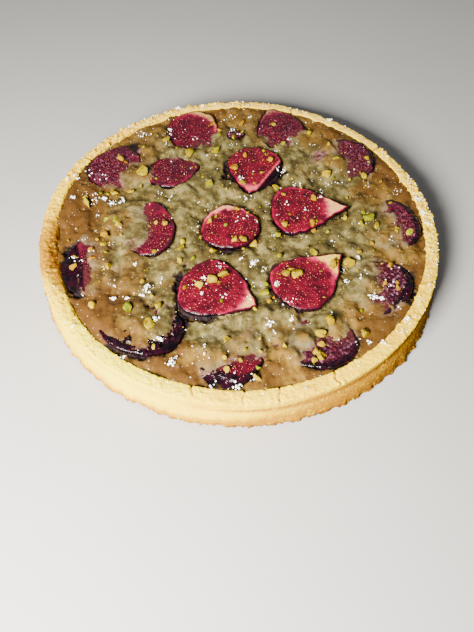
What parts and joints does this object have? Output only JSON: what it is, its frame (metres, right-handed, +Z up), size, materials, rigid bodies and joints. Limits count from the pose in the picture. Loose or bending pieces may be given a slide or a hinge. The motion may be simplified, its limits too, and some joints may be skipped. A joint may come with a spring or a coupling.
{
  "type": "fig tart",
  "caption": "Whole round fig tart: a low pastry case filled level with baked pistachio cream, with fig halves sunk in it cut side up, chopped pistachio and sugar",
  "frame": {"origin": "middle of the flat underside of the pastry case, on the plane that the tart stands on", "axes": "+Z up along the axis of the case, -Y towards the side that faces the viewer, +X to the viewer's right"},
  "size_m": [0.2439, 0.2434, 0.0261],
  "materials": {
    "crust": "dry crumbly baked pastry",
    "cream": "baked cream, slightly moist",
    "fig": "moist cut fruit"
  },
  "bodies": {
    "root": {"crust": "crust", "cream": "cream", "fig_inner_1": "fig", "fig_inner_2": "fig", "fig_inner_3": "fig", "fig_inner_4": "fig", "fig_inner_5": "fig", "fig_side_1": "fig", "fig_side_2": "fig", "fig_outer_1": "fig", "fig_outer_2": "fig", "fig_outer_3": "fig", "fig_outer_4": "fig", "fig_outer_5": "fig", "fig_outer_6": "fig", "fig_outer_7": "fig", "fig_outer_8": "fig", "fig_outer_9": "fig", "fig_outer_10": "fig", "fig_chip": "fig"}
  },
  "joints": []
}
